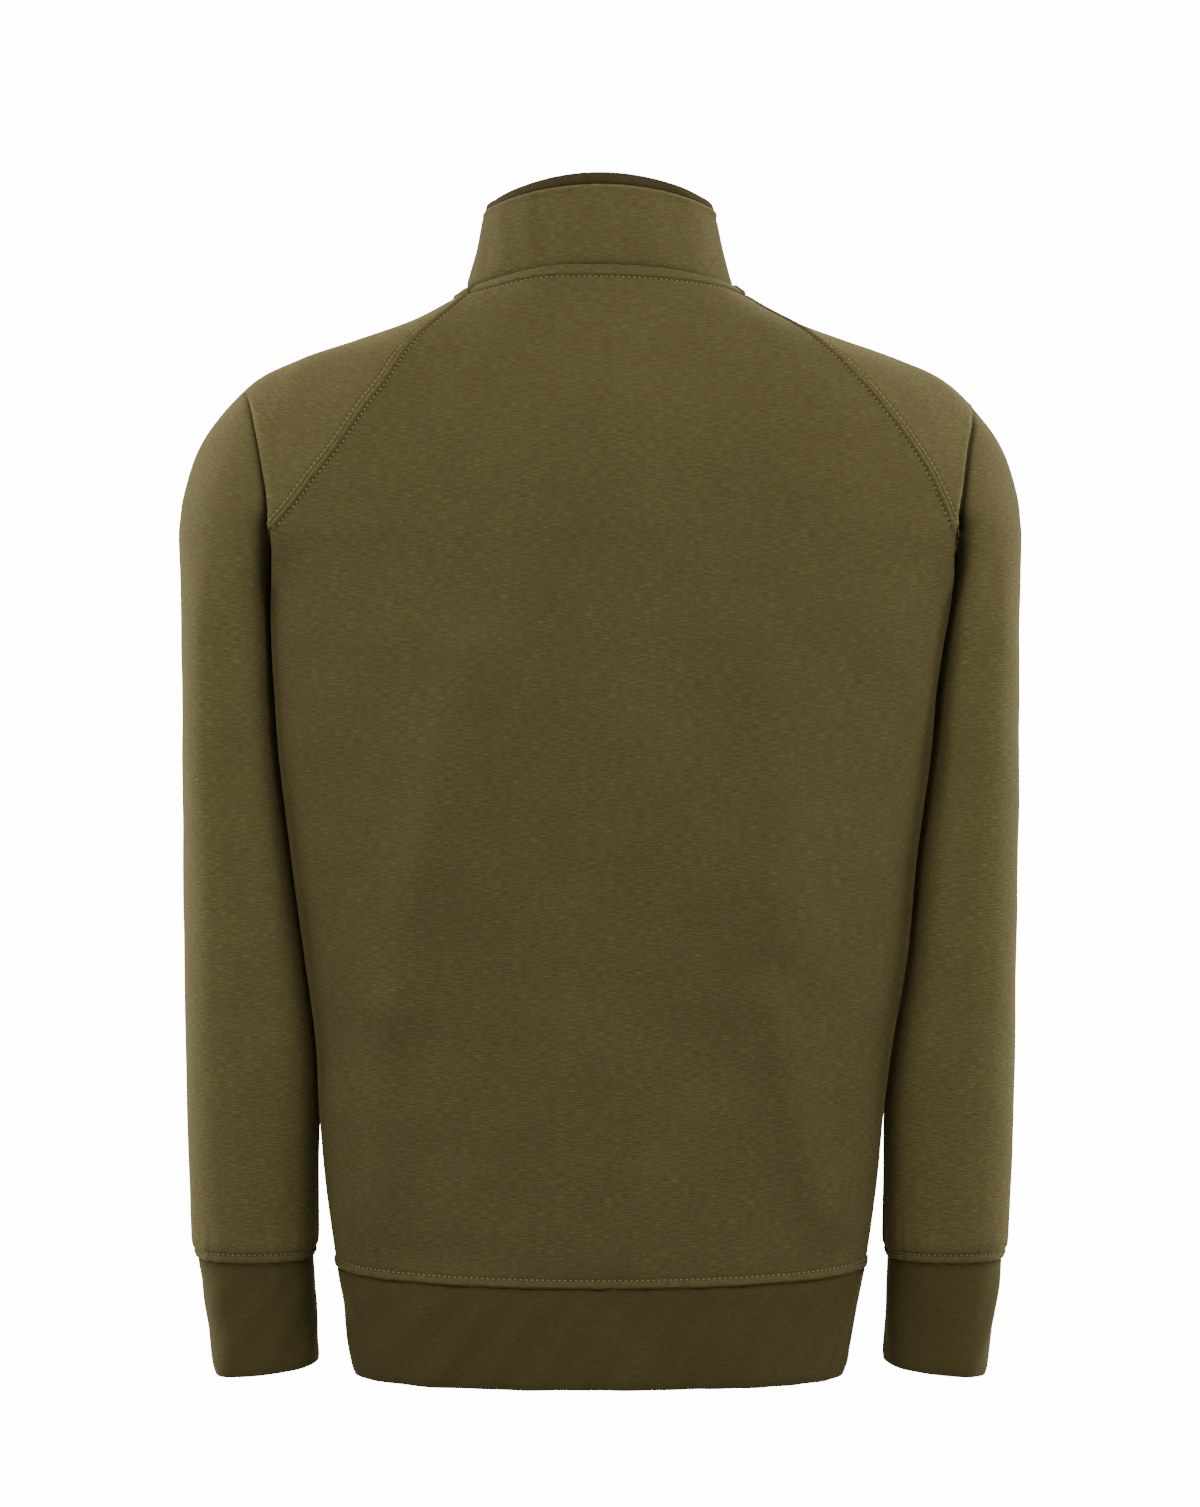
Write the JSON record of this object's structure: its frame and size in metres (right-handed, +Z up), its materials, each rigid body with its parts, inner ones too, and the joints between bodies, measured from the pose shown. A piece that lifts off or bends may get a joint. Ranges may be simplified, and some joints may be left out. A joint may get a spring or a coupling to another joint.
{
  "type": "full-zip sweatshirt",
  "caption": "Hollow full-zip sweatshirt with a stand collar, raglan sleeves, cuffs and a hem band, filled out as it is when worn, with a hinged zip pull.",
  "frame": {"origin": "The middle of the neck, at the height of the neck seam where it crosses the shoulders.", "axes": "+X to the wearer's left, -Y to the front with the zip, +Z up."},
  "size_m": [0.536, 0.2239, 0.7614],
  "materials": {
    "jersey": "matt olive sweatshirt jersey, brushed, with a fine marled knit",
    "rib": "darker olive folded knit band, matt",
    "tape": "dark olive woven zip tape",
    "teeth": "dark olive coil teeth",
    "metal": "dark dulled metal"
  },
  "bodies": {
    "garment": {"back": "jersey", "front_left": "jersey", "front_right": "jersey", "sleeve_left": "jersey", "sleeve_right": "jersey", "collar_outer": "jersey", "collar_inner": "jersey", "hem_band": "rib", "cuff_left": "rib", "cuff_right": "rib", "zip_tape_left": "tape", "zip_tape_right": "tape", "zip_chain": "teeth", "zip_box": "metal", "zip_slider": "metal"},
    "pull": {"zip_pull": "metal"}
  },
  "joints": [
    {"name": "pull_hinge", "type": "hinge", "parent": "garment", "child": "pull", "pos_m": [0, -0.06594, -0.00045], "axis": [-1, 0, 0], "range_deg": [0, 170]}
  ]
}
